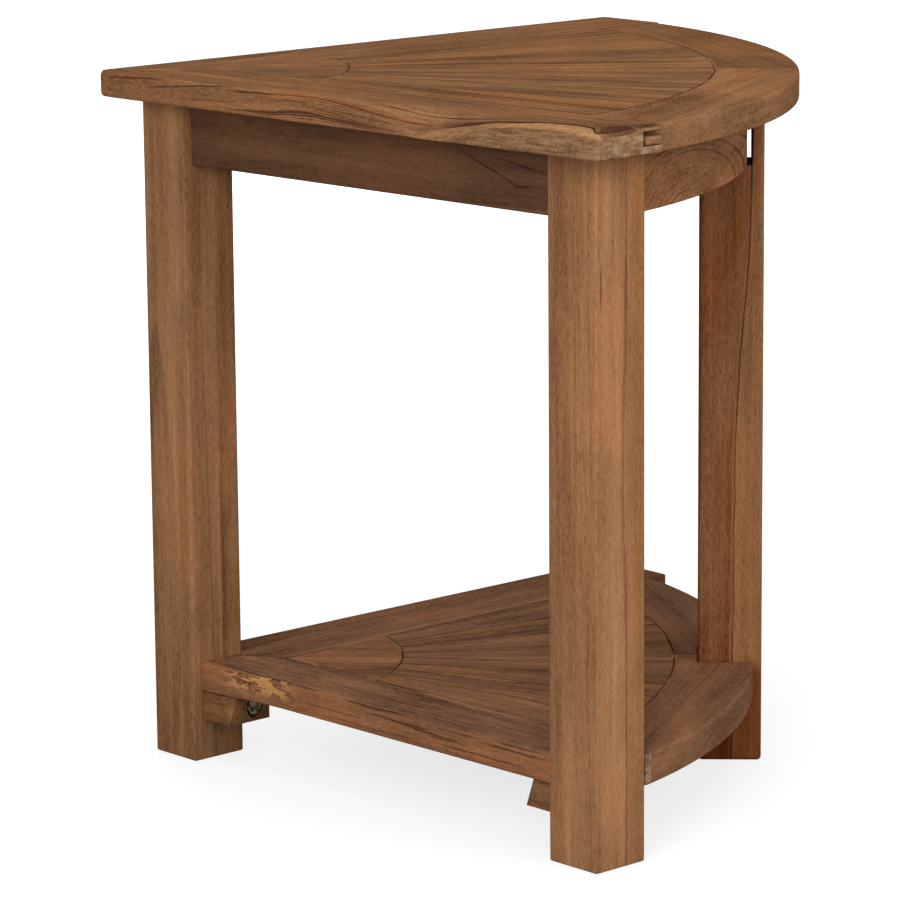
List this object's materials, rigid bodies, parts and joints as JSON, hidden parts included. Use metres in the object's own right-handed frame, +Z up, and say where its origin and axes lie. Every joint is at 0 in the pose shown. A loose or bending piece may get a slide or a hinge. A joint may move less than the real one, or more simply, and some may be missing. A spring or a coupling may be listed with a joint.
{
  "type": "side table",
  "caption": "Quarter-round solid teak side table with a low shelf, both inlaid as a fan of tapered slats between straight rails and a curved rim.",
  "frame": {"origin": "centre of the bounding box in plan, on the floor under the feet", "axes": "+Z up, +X from the apex leg towards the middle of the curved edge, +Y towards the back straight edge, so the straight edge with the natural edge is on the -Y side"},
  "size_m": [0.5444, 0.7564, 0.55],
  "materials": {
    "teak_top": "open-grained teak, thin satin oil finish",
    "teak_shelf": "open-grained teak, thin satin oil finish",
    "teak_leg": "glued-up teak, thin satin oil finish",
    "teak_apron": "teak, thin satin oil finish",
    "teak_cleat": "sawn teak, thinly oiled",
    "zinc_plated_steel": "yellowish zinc plate"
  },
  "bodies": {
    "root": {"apron_back": "teak_apron", "apron_curved": "teak_apron", "apron_front": "teak_apron", "bolt_apex_back": "zinc_plated_steel", "bolt_apex_front": "zinc_plated_steel", "bolt_back": "zinc_plated_steel", "bolt_front": "zinc_plated_steel", "bolt_middle": "zinc_plated_steel", "cleat_apex_back": "teak_cleat", "cleat_apex_front": "teak_cleat", "cleat_back": "teak_cleat", "cleat_front": "teak_cleat", "cleat_middle": "teak_cleat", "leg_apex": "teak_leg", "leg_back": "teak_leg", "leg_front": "teak_leg", "leg_middle": "teak_leg", "shelf_back_rail": "teak_shelf", "shelf_back_rim": "teak_shelf", "shelf_front_rail": "teak_shelf", "shelf_front_rim": "teak_shelf", "shelf_hub": "teak_shelf", "shelf_screw_apex_back": "zinc_plated_steel", "shelf_screw_apex_front": "zinc_plated_steel", "shelf_screw_back": "zinc_plated_steel", "shelf_screw_front": "zinc_plated_steel", "shelf_screw_middle": "zinc_plated_steel", "shelf_slat_1": "teak_shelf", "shelf_slat_2": "teak_shelf", "shelf_slat_3": "teak_shelf", "shelf_slat_4": "teak_shelf", "shelf_slat_5": "teak_shelf", "shelf_slat_6": "teak_shelf", "shelf_slat_7": "teak_shelf", "shelf_slat_8": "teak_shelf", "top_back_rail": "teak_top", "top_back_rim": "teak_top", "top_front_rail": "teak_top", "top_front_rim": "teak_top", "top_hub": "teak_top", "top_screw_back_1": "zinc_plated_steel", "top_screw_back_2": "zinc_plated_steel", "top_screw_curved_back": "zinc_plated_steel", "top_screw_curved_front": "zinc_plated_steel", "top_screw_front_1": "zinc_plated_steel", "top_screw_front_2": "zinc_plated_steel", "top_slat_1": "teak_top", "top_slat_2": "teak_top", "top_slat_3": "teak_top", "top_slat_4": "teak_top", "top_slat_5": "teak_top", "top_slat_6": "teak_top", "top_slat_7": "teak_top", "top_slat_8": "teak_top", "washer_apex_back": "zinc_plated_steel", "washer_apex_front": "zinc_plated_steel", "washer_back": "zinc_plated_steel", "washer_front": "zinc_plated_steel", "washer_middle": "zinc_plated_steel"}
  },
  "joints": []
}
